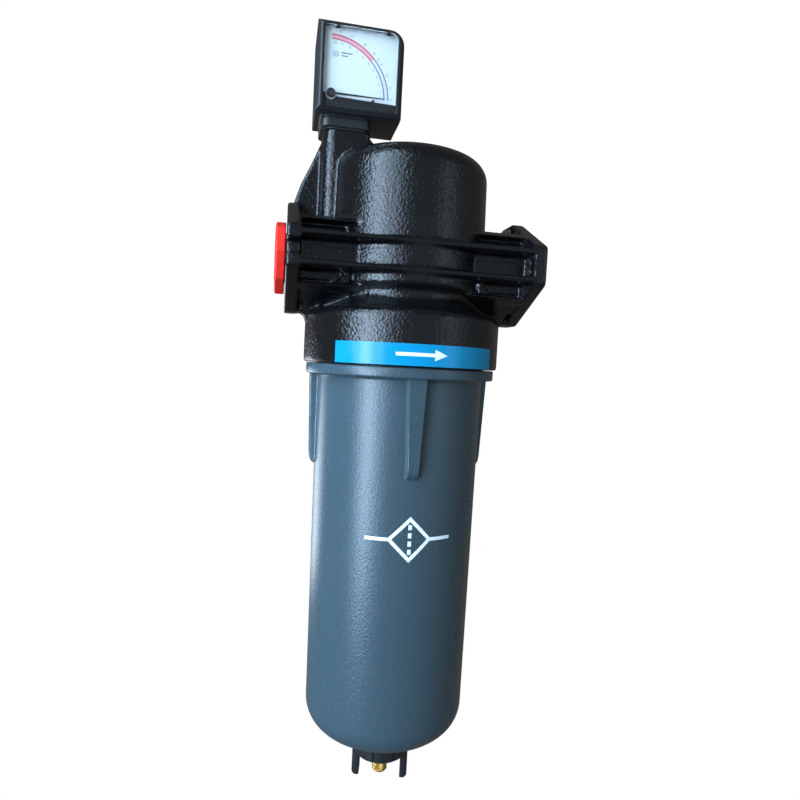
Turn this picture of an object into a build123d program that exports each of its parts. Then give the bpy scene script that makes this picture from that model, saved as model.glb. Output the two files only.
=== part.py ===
from build123d import *
import math
import os

os.makedirs("parts", exist_ok=True)

# Frame: +Z up along the bowl axis, X along the ports (inlet -X, outlet +X),
# -Y is the gauge's face. Origin: where the port axis crosses the bowl axis. Millimetres.

# head casting
PORT_FACE_X = 70.0
FLANGE_IN_X = 62.8
FLANGE_Y = 47.0
FLANGE_Z = 10.5
FLANGE_TIP_Y = 9.0
FLANGE_TIP_Z = 29.8
FLANGE_FOOT_Y = 6.8
FLANGE_FOOT_Z = 30.9
PORT_R = 15.15
PORT_THREAD_LEN = 19.0
DUCT_BORE_R = 14.0
DUCT_Y = 27.0
PANEL_Y = 33.3
RIB_LO, RIB_HI = 6.0, 9.0
SHELF_LO, SHELF_HI = 16.8, 19.8
BODY_R = 46.3
DOME_R1 = 45.8
DOME_KNEE_Z = 49.2
DOME_KNEE_R = 12.0
DOME_TOP_Z = 67.3
HEAD_WALL = 4.2
WAIST_R = 43.5
SKIRT_R = 57.5
SKIRT_BOTTOM_Z = -58.3
SOCKET_R = 50.0
SOCKET_TOP_Z = -33.0
TUBE_R = 23.5
TUBE_BORE_R = 19.0
TUBE_BOTTOM_Z = -40.0
FLOOR_LO, FLOOR_HI = 20.5, 26.0
PILLAR_X0, PILLAR_X1 = -52.3, -26.0
PILLAR_Y = 14.5
PILLAR_TOP_Z = 71.1
TAP_X = -49.8
TAP_Y = 9.5
TAP_R = 1.25

# inlet plug
PLUG_HEAD_R = 20.7
PLUG_HEAD_T = 5.7
PLUG_STEM_R = 15.10
PLUG_STEM_LEN = 15.0
PLUG_TURN_DEG = -3.3

# label band
LABEL_R = 57.52
LABEL_T = 0.28
LABEL_Z0, LABEL_Z1 = -57.7, -46.4
LABEL_END_DEG = 47.5
LABEL_SEAM_DEG = 21.8

# bowl
RING_R = 55.8
RING_TOP_Z = -58.65
RING_BOTTOM_Z = -64.6
NECK_R = 49.95
NECK_TOP_Z = -37.5
BOWL_R0 = 49.2
BOWL_R1 = 47.7
BOWL_KNEE_Z = -260.8
BOWL_KNEE_R = 16.0
BOWL_CROWN_R = 82.5
BOWL_WALL = 3.2
GROOVE_Z = -43.0
GROOVE_W = 3.0
GROOVE_R = 47.45
BOWL_HOLE_R = 6.6

# element
ELEM_CORE_R0, ELEM_CORE_R1 = 18.0, 18.8
ELEM_MEDIA_R = 29.0
ELEM_MESH_R = 29.8
ELEM_SOCK_R = 32.4
ELEM_CAP_R = 33.6
ELEM_TOP_Z = -44.0
ELEM_BOTTOM_Z = -232.0
ELEM_CAP_DEPTH = 7.0
WRAP_Z0, WRAP_Z1 = ELEM_BOTTOM_Z + 2.52, ELEM_TOP_Z - 2.52
SPIGOT_R = 18.95
SPIGOT_TOP_Z = -20.0
SPIGOT_BORE_R = 14.0

# gauge
GAUGE_X0, GAUGE_X1 = -57.7, -10.0
GAUGE_Z0, GAUGE_Z1 = 78.0, 126.0
GAUGE_FRONT_Y = -20.0
GAUGE_BACK_Y = 18.0
WINDOW_X0, WINDOW_X1 = -53.7, -13.7
WINDOW_Z0, WINDOW_Z1 = 80.6, 123.4
DIAL_TOP_Z = 124.5
HUB_X, HUB_Z = -49.3, 88.2
NEEDLE_TIP_X = -19.8
FOOT_X0, FOOT_X1 = -54.2, -25.6
FOOT_Z0 = 71.9
PISTON_X = -42.5
PISTON_Y = 4.5
PISTON_R = 5.0

# drain
STEM_R = 6.5
CAGE_R0, CAGE_R1 = 17.6, 19.0
CAGE_TOP_Z = -252.0
FLOAT_R = 16.6
FLOAT_Z0, FLOAT_Z1 = -272.0, -258.0
GUIDE_R = 4.0
COLLAR_TOP_Z = -285.6
COLLAR_BOTTOM_Z = -297.6
COLLAR_R = 16.6
WING_TIP_Z = -313.8
WING_TURN_DEG = -13.0
KNOB_R = 4.7
KNOB_TOP_Z = -303.4
KNOB_BOTTOM_Z = -311.6


def tube(r_out, r_in, z0, z1):
    """Hollow cylinder about Z between two heights."""
    body = Pos(0, 0, (z0 + z1) / 2) * Cylinder(r_out, z1 - z0)
    bore = Pos(0, 0, (z0 + z1) / 2) * Cylinder(r_in, z1 - z0 + 2)
    return body - bore


def rod(r, z0, z1, x=0.0, y=0.0):
    """Solid cylinder parallel to Z."""
    return Pos(x, y, (z0 + z1) / 2) * Cylinder(r, z1 - z0)


def x_rod(r, x0, x1, y=0.0, z=0.0):
    """Solid cylinder parallel to X."""
    return Pos((x0 + x1) / 2, y, z) * Rot(0, 90, 0) * Cylinder(r, x1 - x0)


def y_rod(r, y0, y1, x=0.0, z=0.0):
    """Solid cylinder parallel to Y."""
    return Pos(x, (y0 + y1) / 2, z) * Rot(90, 0, 0) * Cylinder(r, y1 - y0)


def block(x0, x1, y0, y1, z0, z1):
    """Box given by its six limits."""
    centre = Pos((x0 + x1) / 2, (y0 + y1) / 2, (z0 + z1) / 2)
    return centre * Box(x1 - x0, y1 - y0, z1 - z0)


def yz_slab(points, x0, x1):
    """Extrude a closed (y, z) outline along X."""
    wire = Polyline(*[(x0, y, z) for y, z in points], close=True)
    return extrude(make_face(wire), amount=x1 - x0, dir=(1, 0, 0))


def xz_slab(points, y0, y1):
    """Extrude a closed (x, z) outline along Y."""
    wire = Polyline(*[(x, y0, z) for x, z in points], close=True)
    return extrude(make_face(wire), amount=y1 - y0, dir=(0, 1, 0))


def arc_points(cx, cz, r, a0, a1, n):
    """Points on a circular arc in a profile, angles in degrees."""
    step = (a1 - a0) / n
    angles = [math.radians(a0 + step * i) for i in range(n + 1)]
    return [(cx + r * math.cos(a), cz + r * math.sin(a)) for a in angles]


def dome_profile(inset):
    """Profile of the upper head, from the axis down the wall, inset by a wall."""
    r1 = DOME_R1 - inset
    knee = DOME_KNEE_R - inset
    cr = DOME_R1 - DOME_KNEE_R
    rise = DOME_TOP_Z - inset - DOME_KNEE_Z
    crown = (cr * cr + rise * rise - knee * knee) / (2 * (rise - knee))
    cz = DOME_KNEE_Z + rise - crown
    lean = math.degrees(math.atan2(DOME_KNEE_Z - cz, cr))
    with_crown = ThreePointArc(
        (0, 0, cz + crown),
        (crown * math.sin(math.radians((90 - lean) / 2)), 0,
         cz + crown * math.cos(math.radians((90 - lean) / 2))),
        (crown * math.cos(math.radians(lean)), 0, cz + crown * math.sin(math.radians(lean))),
    )
    mid = math.radians(lean / 2)
    with_knee = ThreePointArc(
        with_crown @ 1,
        (cr + knee * math.cos(mid), 0, DOME_KNEE_Z + knee * math.sin(mid)),
        (r1, 0, DOME_KNEE_Z),
    )
    return with_crown, with_knee


def head_turned_shell():
    """Dome, body, waist and skirt as one turned solid, before hollowing."""
    crown, knee = dome_profile(0.0)
    wall = Line(knee @ 1, (BODY_R, 0, 20.0))
    lower = Line(wall @ 1, (BODY_R, 0, -12.5))
    chin = ThreePointArc(lower @ 1, (BODY_R - 0.9, 0, -14.9), (BODY_R - 3.0, 0, -16.2))
    dip = ThreePointArc(chin @ 1, (WAIST_R - 1.3, 0, -20.0), (WAIST_R + 0.7, 0, -23.6))
    sweep = ThreePointArc(dip @ 1, (48.4, 0, -26.6), (52.6, 0, -27.6))
    shoulder = ThreePointArc(sweep @ 1, (56.2, 0, -29.3), (SKIRT_R, 0, -33.0))
    skirt = Line(shoulder @ 1, (SKIRT_R, 0, SKIRT_BOTTOM_Z + 0.8))
    lip = Line(skirt @ 1, (SKIRT_R - 0.8, 0, SKIRT_BOTTOM_Z))
    floor = Line(lip @ 1, (0, 0, SKIRT_BOTTOM_Z))
    axis = Line(floor @ 1, crown @ 0)
    outline = Wire([crown, knee, wall, lower, chin, dip, sweep, shoulder, skirt, lip, floor, axis])
    return revolve(make_face(outline), Axis.Z)


def envelope_y(z):
    """Half width of the flange outline at a height."""
    slope = (FLANGE_Y - FLANGE_TIP_Y) / (FLANGE_TIP_Z - FLANGE_Z)
    return FLANGE_Y - (abs(z) - FLANGE_Z) * slope


def flange(side):
    """One port flange: an eight-sided plate with eased edges."""
    corners = [
        (-FLANGE_Y, -FLANGE_Z), (-FLANGE_Y, FLANGE_Z),
        (-FLANGE_TIP_Y, FLANGE_TIP_Z), (FLANGE_TIP_Y, FLANGE_TIP_Z),
        (FLANGE_Y, FLANGE_Z), (FLANGE_Y, -FLANGE_Z),
        (FLANGE_FOOT_Y, -FLANGE_FOOT_Z), (-FLANGE_FOOT_Y, -FLANGE_FOOT_Z),
    ]
    x0 = FLANGE_IN_X if side > 0 else -PORT_FACE_X
    plate = yz_slab(corners, x0, x0 + PORT_FACE_X - FLANGE_IN_X)
    plate = fillet(plate.edges().filter_by(Axis.X), 3.2)
    rims = plate.edges().filter_by(lambda e: abs(e.center().X) > PORT_FACE_X - 0.01)
    plate = chamfer(rims, 0.6)
    for front in (-1, 1):
        if side > 0:
            slot = block(x0 - 1, x0 + 9, -2.1, 2.1, -2.4, 2.4)
            slot += x_rod(2.1, x0 - 1, x0 + 9, 0, 2.4)
            slot += x_rod(2.1, x0 - 1, x0 + 9, 0, -2.4)
            plate -= Pos(0, front * 41.3, 0) * slot
        else:
            depth = sorted((front * 39.0, front * 49.0))
            plate -= block(x0 - 1, x0 + 9, depth[0], depth[1], -3.6, 3.6)
    return plate


def duct(side):
    """Port duct between flange and body, with its front and back ribs and shelves."""
    x0, x1 = sorted((side * 20.0, side * (FLANGE_IN_X + 0.4)))
    core = block(x0, x1, -DUCT_Y, DUCT_Y, -SHELF_LO - 1, SHELF_LO + 1)
    core = fillet(core.edges().filter_by(Axis.X), 6.0)
    for up in (-1, 1):
        low, high = up * SHELF_LO, up * SHELF_HI
        outline = [
            (-envelope_y(SHELF_LO) + 0.6, low), (-envelope_y(SHELF_HI) + 0.2, high),
            (envelope_y(SHELF_HI) - 0.2, high), (envelope_y(SHELF_LO) - 0.6, low),
        ]
        core += yz_slab(outline, x0, x1)
    panel = block(x0, x1, -PANEL_Y, PANEL_Y, -RIB_LO - 1, RIB_LO + 1)
    corner = [(48.5, -17.0), (44.6, -15.7), (41.2, -13.2), (38.8, -10.0), (36.0, -9.0), (36.0, -17.0)]
    corner = [(side * x, z) for x, z in corner]
    return core + panel + xz_slab(corner, -32.4, 32.4)


def long_ribs():
    """The two straight ribs that run from flange to flange, front and back."""
    ribs = None
    for up in (-1, 1):
        low, high = sorted((up * RIB_LO, up * RIB_HI))
        bar = block(-FLANGE_IN_X - 0.4, FLANGE_IN_X + 0.4, -FLANGE_Y, FLANGE_Y, low, high)
        bar = chamfer(bar.edges().filter_by(Axis.X), 0.5)
        ribs = bar if ribs is None else ribs + bar
    return ribs


def lower_web(side):
    """Web under each duct: it narrows to the flange's foot and lands on the skirt's shoulder."""
    x0, x1 = sorted((side * 36.0, side * (FLANGE_IN_X + 0.4)))
    slope = [(-27.0, -SHELF_HI + 0.6), (-FLANGE_FOOT_Y - 1.4, -FLANGE_FOOT_Z + 0.8),
             (FLANGE_FOOT_Y + 1.4, -FLANGE_FOOT_Z + 0.8), (27.0, -SHELF_HI + 0.6)]
    web = yz_slab(slope, x0, x1)
    heel = [(FLANGE_IN_X + 0.3, -28.0), (FLANGE_IN_X + 0.3, -30.2), (60.6, -30.5), (59.2, -31.2),
            (58.2, -32.6), (57.6, -34.6), (56.5, -36.0), (51.0, -36.0), (51.0, -28.0)]
    web += xz_slab([(side * x, z) for x, z in heel], -7.4, 7.4)
    for front in (-1, 1):
        seat = Plane(origin=(side * 60.9, front * 14.0, -27.1), x_dir=(0, front * 17.2, 10.6),
                     z_dir=(0, front * 10.6, -17.2))
        web -= extrude(seat * SlotOverall(9.5, 2.6), 3.0, both=True)
    return web


def upper_saddle(side):
    """Rounded web above each duct, behind the flange's top."""
    hump = [(FLANGE_IN_X + 0.3, 29.2), (61.8, 28.4), (60.4, 27.0), (59.0, 25.2), (57.6, 22.6),
            (56.6, SHELF_HI), (40.0, SHELF_HI), (40.0, SHELF_LO), (FLANGE_IN_X + 0.3, SHELF_LO)]
    return xz_slab([(side * x, z) for x, z in hump], -7.5, 7.5)


def pillar():
    """Square post that carries the gauge, with its side gusset."""
    post = block(PILLAR_X0, PILLAR_X1, -PILLAR_Y, PILLAR_Y, SHELF_LO, PILLAR_TOP_Z)
    uprights = post.edges().filter_by(Axis.Z)
    post = fillet([e for e in uprights if e.center().X > PILLAR_X0 + 1], 3.0)
    uprights = post.edges().filter_by(Axis.Z)
    post = fillet([e for e in uprights if e.center().X < PILLAR_X0 + 1 and abs(e.center().Y) > 14], 7.0)
    web = xz_slab(
        [(-67.0, 28.0), (-66.5, 31.6), (-63.3, 41.6), (-56.7, 56.0), (-53.0, 65.0),
         (PILLAR_X0 + 5.0, 66.0), (PILLAR_X0 + 5.0, SHELF_LO), (-63.1, SHELF_LO), (-63.1, 28.0)],
        -5.0, 5.0,
    )
    heel = xz_slab(
        [(PILLAR_X1 - 8.0, 52.0), (PILLAR_X1 - 8.0, 68.6), (PILLAR_X1, 68.6),
         (PILLAR_X1 + 2.4, 66.4), (PILLAR_X1 + 7.0, 64.4), (PILLAR_X1 + 9.0, 52.0)],
        -11.5, 11.5,
    )
    return post + web + heel


def filter_head():
    """The whole head casting with its chambers, ports and gauge passages."""
    solid = head_turned_shell()
    for side in (-1, 1):
        solid += duct(side)
        solid += lower_web(side)
        solid += upper_saddle(side)
    solid += long_ribs()
    solid += pillar()
    for side in (-1, 1):
        solid += flange(side)
    crown, knee = dome_profile(HEAD_WALL)
    wall = Line(knee @ 1, (BODY_R - HEAD_WALL, 0, FLOOR_HI))
    base = Line(wall @ 1, (0, 0, FLOOR_HI))
    spine = Line(base @ 1, crown @ 0)
    dome_room = revolve(make_face(Wire([crown, knee, wall, base, spine])), Axis.Z)
    plenum_r = WAIST_R - HEAD_WALL
    plenum = rod(plenum_r, SOCKET_TOP_Z - 1, FLOOR_LO)
    plenum -= rod(TUBE_R, SOCKET_TOP_Z - 2, FLOOR_LO + 1)
    plenum -= x_rod(PORT_R + 3.6, -60, 0)
    socket = rod(SOCKET_R, SKIRT_BOTTOM_Z - 1, SOCKET_TOP_Z)
    socket -= rod(TUBE_R, TUBE_BOTTOM_Z, SOCKET_TOP_Z + 1)
    solid -= dome_room
    solid -= plenum
    solid -= socket
    solid -= rod(TUBE_BORE_R, TUBE_BOTTOM_Z - 1, FLOOR_HI + 1)
    solid -= x_rod(PORT_R, -PORT_FACE_X - 1, -PORT_FACE_X + PORT_THREAD_LEN)
    solid -= x_rod(DUCT_BORE_R, -PORT_FACE_X, 0)
    solid -= x_rod(PORT_R, PORT_FACE_X - PORT_THREAD_LEN, PORT_FACE_X + 1)
    solid -= x_rod(DUCT_BORE_R, TUBE_R + 2, PORT_FACE_X)
    for side in (-1, 1):
        mouth = Pos(side * (PORT_FACE_X - 0.6), 0, 0) * Rot(0, side * 90, 0)
        solid -= mouth * Cone(PORT_R, PORT_R + 1.6, 1.6)
    solid -= rod(TAP_R, 0.0, PILLAR_TOP_Z + 1, TAP_X, -TAP_Y)
    solid -= rod(TAP_R, 17.6, PILLAR_TOP_Z + 1, TAP_X, TAP_Y)
    solid -= Pos(0, TAP_Y, 18.6) * x_rod(TAP_R, TAP_X, -34.0)
    for y in (-8.5, 8.5):
        solid -= rod(1.5, PILLAR_TOP_Z - 9, PILLAR_TOP_Z + 1, -31.5, y)
    return solid


def inlet_plug():
    """Push-in thread plug: eight-sided head, hollow stem with sealing fins."""
    outline = RegularPolygon(PLUG_HEAD_R, 8)
    cap = Rot(0, 90, 0) * Rot(0, 0, PLUG_TURN_DEG) * extrude(outline, PLUG_HEAD_T)
    cap = Pos(-PORT_FACE_X - PLUG_HEAD_T - 0.3, 0, 0) * cap
    outer = cap.edges().filter_by(lambda e: e.center().X < -PORT_FACE_X - PLUG_HEAD_T)
    cap = chamfer(outer, 0.7)
    stem = x_rod(13.6, -PORT_FACE_X - 1, -PORT_FACE_X + PLUG_STEM_LEN)
    body = cap + stem
    for k in range(4):
        x = -PORT_FACE_X + 2.0 + 3.6 * k
        body += x_rod(PLUG_STEM_R, x, x + 1.0)
    body -= x_rod(11.6, -PORT_FACE_X - 2.5, -PORT_FACE_X + PLUG_STEM_LEN + 1)
    body -= x_rod(12.4, -PORT_FACE_X - PLUG_HEAD_T - 1.3, -PORT_FACE_X - 4.4)
    grip = block(-PORT_FACE_X - PLUG_HEAD_T - 0.3, -PORT_FACE_X - 4.2, -1.6, 1.6, -12.6, 12.6)
    return body + grip


def label_piece(a0, a1, extra=0.0):
    """Curved strip on the skirt, between two angles measured from the front."""
    ring = tube(LABEL_R + LABEL_T + extra, LABEL_R, LABEL_Z0, LABEL_Z1)
    reach = 1.6 * LABEL_R
    left = math.radians(a0)
    right = math.radians(a1)
    middle = (left + right) / 2
    wedge = [
        (0.0, 0.0), (reach * math.sin(left), -reach * math.cos(left)),
        (1.3 * reach * math.sin(middle), -1.3 * reach * math.cos(middle)),
        (reach * math.sin(right), -reach * math.cos(right)),
    ]
    wire = Polyline(*[(x, y, LABEL_Z0 - 1) for x, y in wedge], close=True)
    cutter = extrude(make_face(wire), amount=LABEL_Z1 - LABEL_Z0 + 2, dir=(0, 0, 1))
    return ring & cutter


def bowl_shell(inset):
    """Crown, knee and wall curves of the bowl, inset by a wall."""
    r1 = BOWL_R1 - inset
    knee_r = BOWL_KNEE_R - inset
    cr = BOWL_R1 - BOWL_KNEE_R
    crown_r = BOWL_CROWN_R - inset
    cz = BOWL_KNEE_Z + math.sqrt((crown_r - knee_r) ** 2 - cr ** 2)
    lean = math.atan2(cz - BOWL_KNEE_Z, cr)
    tip = (crown_r * math.cos(lean), 0, cz - crown_r * math.sin(lean))
    half = (lean + math.pi / 2) / 2
    bottom = ThreePointArc(
        (0, 0, cz - crown_r),
        (crown_r * math.cos(half), 0, cz - crown_r * math.sin(half)),
        tip,
    )
    knee = ThreePointArc(
        tip,
        (cr + knee_r * math.cos(lean / 2), 0, BOWL_KNEE_Z - knee_r * math.sin(lean / 2)),
        (r1, 0, BOWL_KNEE_Z),
    )
    return bottom, knee


def bowl_rib(turn):
    """One tapering rib under the bowl's ring."""
    top = xz_slab([(-5.0, -63.0), (5.0, -63.0), (3.1, -119.5), (-3.1, -119.5)], -60.0, -46.0)
    side = [
        (-47.0, -63.0), (-53.7, -63.0), (-53.6, -66.0), (-52.2, -112.0),
        (-51.7, -115.0), (-50.6, -117.2), (-47.0, -119.0),
    ]
    blade = top & yz_slab(side, -8.0, 8.0)
    return Rot(0, 0, turn) * blade


def bowl():
    """Pressure bowl: neck, ring, drafted wall, dished bottom and four ribs."""
    bottom, knee = bowl_shell(0.0)
    wall = Line(knee @ 1, (BOWL_R0, 0, RING_BOTTOM_Z - 1.5))
    root = ThreePointArc(
        wall @ 1,
        (BOWL_R0 + 0.4, 0, RING_BOTTOM_Z - 0.45),
        (BOWL_R0 + 1.5, 0, RING_BOTTOM_Z),
    )
    under = Line(root @ 1, (RING_R - 1.2, 0, RING_BOTTOM_Z))
    bead = ThreePointArc(
        under @ 1,
        (RING_R - 0.35, 0, RING_BOTTOM_Z + 0.35),
        (RING_R, 0, RING_BOTTOM_Z + 1.2),
    )
    edge = Line(bead @ 1, (RING_R, 0, RING_TOP_Z - 0.6))
    ease = Line(edge @ 1, (RING_R - 0.6, 0, RING_TOP_Z))
    seat = Line(ease @ 1, (NECK_R, 0, RING_TOP_Z))
    neck = Line(seat @ 1, (NECK_R, 0, NECK_TOP_Z - 1.2))
    lead = Line(neck @ 1, (NECK_R - 1.2, 0, NECK_TOP_Z))
    lid = Line(lead @ 1, (0, 0, NECK_TOP_Z))
    axis = Line(lid @ 1, bottom @ 0)
    outline = Wire([bottom, knee, wall, root, under, bead, edge, ease, seat, neck, lead, lid, axis])
    solid = revolve(make_face(outline), Axis.Z)
    for turn in (0, 90, 180, 270):
        solid += bowl_rib(turn)
    solid += rod(13.5, -285.3, -280.0)
    inner_bottom, inner_knee = bowl_shell(BOWL_WALL)
    inner_wall = Line(inner_knee @ 1, (BOWL_R0 - BOWL_WALL, 0, RING_BOTTOM_Z))
    mouth = Line(inner_wall @ 1, (BOWL_R0 - BOWL_WALL, 0, NECK_TOP_Z + 1))
    cover = Line(mouth @ 1, (0, 0, NECK_TOP_Z + 1))
    spine = Line(cover @ 1, inner_bottom @ 0)
    room = revolve(make_face(Wire([inner_bottom, inner_knee, inner_wall, mouth, cover, spine])), Axis.Z)
    solid -= room
    solid += tube(14.0, BOWL_HOLE_R, -284.0, -279.6)
    solid -= rod(BOWL_HOLE_R, -290.0, -275.0)
    solid -= tube(NECK_R + 1, GROOVE_R, GROOVE_Z - GROOVE_W / 2, GROOVE_Z + GROOVE_W / 2)
    for k in range(4):
        z = -48.0 - 2.4 * k
        solid -= tube(NECK_R + 1, NECK_R - 0.7, z - 0.6, z + 0.6)
    return solid


def o_ring(radius, z, section):
    """Round-section seal ring about Z."""
    return Pos(0, 0, z) * Torus(radius, section)


def element_top_cap():
    """Moulded end cap with its push-in spigot and seal groove."""
    cap = tube(ELEM_CAP_R, SPIGOT_BORE_R, ELEM_TOP_Z - ELEM_CAP_DEPTH, ELEM_TOP_Z)
    cap -= tube(ELEM_SOCK_R, ELEM_CORE_R0, ELEM_TOP_Z - ELEM_CAP_DEPTH - 1, ELEM_TOP_Z - 2.5)
    cap += tube(SPIGOT_R, SPIGOT_BORE_R, ELEM_TOP_Z - 1, SPIGOT_TOP_Z)
    cap += tube(22.4, SPIGOT_BORE_R, ELEM_TOP_Z - 1, ELEM_TOP_Z + 2.0)
    cap -= tube(SPIGOT_R + 1, 16.9, -30.5, -27.5)
    return cap


def element_bottom_cap():
    """Closed end cap with a grip cross underneath."""
    cap = rod(ELEM_CAP_R, ELEM_BOTTOM_Z, ELEM_BOTTOM_Z + ELEM_CAP_DEPTH)
    cap -= tube(ELEM_SOCK_R, ELEM_CORE_R0, ELEM_BOTTOM_Z + 2.5, ELEM_BOTTOM_Z + ELEM_CAP_DEPTH + 1)
    cap += block(-2.0, 2.0, -20.0, 20.0, ELEM_BOTTOM_Z - 4.0, ELEM_BOTTOM_Z + 1)
    cap += block(-20.0, 20.0, -2.0, 2.0, ELEM_BOTTOM_Z - 4.0, ELEM_BOTTOM_Z + 1)
    return cap


def perforated(r_out, r_in, hole_r, columns, rows):
    """Support tube of the element with a staggered field of holes."""
    shell = tube(r_out, r_in, WRAP_Z0, WRAP_Z1)
    pitch = (WRAP_Z1 - WRAP_Z0 - 24.0) / (rows - 1)
    pins = []
    for row in range(rows):
        z = WRAP_Z0 + 12.0 + pitch * row
        for col in range(columns):
            turn = 360.0 / columns * (col + 0.5 * (row % 2)) + 4.0
            pins.append(Rot(0, 0, turn) * x_rod(hole_r, r_in - 2, r_out + 2, 0, z))
    return shell - pins


def element_media():
    """Pleated filter medium, drawn as a star of folds."""
    folds = 44
    points = []
    for k in range(folds):
        a = 2 * math.pi * k / folds
        b = 2 * math.pi * (k + 0.5) / folds
        points.append((28.9 * math.cos(a), 28.9 * math.sin(a)))
        points.append((24.2 * math.cos(b), 24.2 * math.sin(b)))
    z0, z1 = ELEM_BOTTOM_Z + 2.5, ELEM_TOP_Z - 2.5
    wire = Polyline(*[(x, y, z0) for x, y in points], close=True)
    star = extrude(make_face(wire), amount=z1 - z0, dir=(0, 0, 1))
    return star - rod(ELEM_CORE_R1 + 0.02, z0 - 1, z1 + 1)


def gauge_outline(x0, x1, z0, z1, round_r):
    """Front outline of the gauge: one large rounded corner at the upper right."""
    corner = arc_points(x1 - round_r, z1 - round_r, round_r, 90, 0, 12)
    return [(x0, z0), (x0, z1)] + corner + [(x1, z0)]


def gauge_case():
    """Gauge housing with its instrument room, piston bore and mounting foot."""
    outline = gauge_outline(GAUGE_X0, GAUGE_X1, GAUGE_Z0, GAUGE_Z1, 8.0)
    case = xz_slab(outline, -15.0, GAUGE_BACK_Y)
    back = case.edges().filter_by(lambda e: e.center().Y > GAUGE_BACK_Y - 0.01)
    case = chamfer(back, 4.4)
    inner = gauge_outline(GAUGE_X0 + 2.4, GAUGE_X1 - 2.4, GAUGE_Z0 + 2.4, GAUGE_Z1 - 2.4, 5.8)
    case -= xz_slab(inner, -16.0, -6.0)
    foot = block(FOOT_X0, FOOT_X1, -14.9, 13.0, FOOT_Z0, GAUGE_Z0 - 1.2)
    foot = fillet(foot.edges().filter_by(Axis.Z), 5.0)
    neck = block(FOOT_X0 + 0.5, FOOT_X1 - 0.5, -14.4, 12.5, GAUGE_Z0 - 1.3, GAUGE_Z0 + 1)
    neck = fillet(neck.edges().filter_by(Axis.Z), 4.5)
    case += foot + neck
    case -= rod(PISTON_R + 0.05, GAUGE_Z0 + 6, GAUGE_Z1 - 12, PISTON_X, PISTON_Y)
    case -= rod(1.2, FOOT_Z0 - 1, GAUGE_Z0 + 7, PISTON_X, PISTON_Y)
    gallery = block(TAP_X - 1.2, PISTON_X + 1.2, -TAP_Y - 1.2, -TAP_Y + 1.2, FOOT_Z0 - 1, FOOT_Z0 + 1.6)
    gallery += block(
        PISTON_X - 1.2, PISTON_X + 1.2, -TAP_Y - 1.2, PISTON_Y + 1.2, FOOT_Z0 - 1, FOOT_Z0 + 1.6
    )
    case -= gallery
    case -= rod(1.2, FOOT_Z0 - 1, GAUGE_Z1 - 12.5, TAP_X, TAP_Y)
    case -= Pos(0, TAP_Y - 0.9, GAUGE_Z1 - 13.6) * x_rod(1.0, TAP_X, PISTON_X)
    case -= y_rod(1.15, -7.0, 3.2, HUB_X, HUB_Z)
    for y in (-8.5, 8.5):
        case -= rod(1.7, FOOT_Z0 - 1, FOOT_Z0 + 8.5, -31.5, y)
        case -= rod(3.1, FOOT_Z0 + 3.4, GAUGE_Z0 + 4.0, -31.5, y)
    return case


def gauge_bezel():
    """Front frame of the gauge with broad bevelled sides."""
    outline = gauge_outline(GAUGE_X0, GAUGE_X1, GAUGE_Z0 + 0.2, GAUGE_Z1, 8.0)
    frame = xz_slab(outline, GAUGE_FRONT_Y, -15.0)
    face = frame.edges().filter_by(lambda e: e.center().Y < GAUGE_FRONT_Y + 0.01)
    frame = chamfer(face, 2.2)
    opening = gauge_outline(WINDOW_X0, WINDOW_X1, WINDOW_Z0, WINDOW_Z1, 4.0)
    frame -= xz_slab(opening, -21.0, -18.6)
    rebate = gauge_outline(WINDOW_X0 - 1.2, WINDOW_X1 + 1.2, WINDOW_Z0 - 0.2, DIAL_TOP_Z + 0.1, 4.6)
    frame -= xz_slab(rebate, -18.61, -14.0)
    return frame


def gauge_window():
    """Clear pane over the dial."""
    outline = gauge_outline(
        WINDOW_X0 + 0.02, WINDOW_X1 - 0.02, WINDOW_Z0 + 0.02, WINDOW_Z1 - 0.02, 4.0
    )
    return xz_slab(outline, -19.7, -18.7)


def gauge_dial():
    """Dial plate behind the needle."""
    outline = gauge_outline(
        WINDOW_X0 - 1.1, WINDOW_X1 + 1.1, WINDOW_Z0 - 0.1, DIAL_TOP_Z, 4.6
    )
    plate = xz_slab(outline, -15.9, -15.1)
    return plate - y_rod(1.4, -17.0, -14.0, HUB_X, HUB_Z)


def gauge_mask():
    """Dark lower cover of the dial, its top edge falling to the right."""
    outline = [
        (WINDOW_X0 - 1.0, WINDOW_Z0 - 0.1), (WINDOW_X0 - 1.0, 89.2), (-52.0, 88.5), (-47.4, 87.1),
        (WINDOW_X1 + 1.0, 86.3), (WINDOW_X1 + 1.0, WINDOW_Z0 - 0.1),
    ]
    cover = xz_slab(outline, -16.5, -15.92)
    post = y_rod(0.8, -17.1, -16.0, -26.0, 86.8)
    return (cover + post) - y_rod(3.0, -17.0, -15.0, HUB_X, HUB_Z)


def gauge_needle():
    """Tapered pointer with its round hub."""
    hub = y_rod(2.4, -18.2, -17.0, HUB_X, HUB_Z)
    blade = xz_slab(
        [(HUB_X, HUB_Z + 0.5), (NEEDLE_TIP_X, HUB_Z + 0.4),
         (NEEDLE_TIP_X, HUB_Z - 0.05), (HUB_X, HUB_Z - 0.6)],
        -17.9, -17.5,
    )
    return hub + blade


def gauge_spindle():
    """Needle shaft with the magnet follower disc behind the dial."""
    shaft = y_rod(1.1, -17.0, 2.6, HUB_X, HUB_Z)
    disc = y_rod(2.6, -14.2, -11.8, HUB_X, HUB_Z)
    return shaft + disc


def gauge_piston():
    """Magnetic piston of the pressure movement."""
    body = rod(PISTON_R, GAUGE_Z0 + 8.2, GAUGE_Z0 + 17.0, PISTON_X, PISTON_Y)
    groove = rod(PISTON_R + 1, GAUGE_Z0 + 11.0, GAUGE_Z0 + 12.0, PISTON_X, PISTON_Y)
    groove -= rod(PISTON_R - 1, GAUGE_Z0 + 10.0, GAUGE_Z0 + 13.0, PISTON_X, PISTON_Y)
    return body - groove


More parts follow.
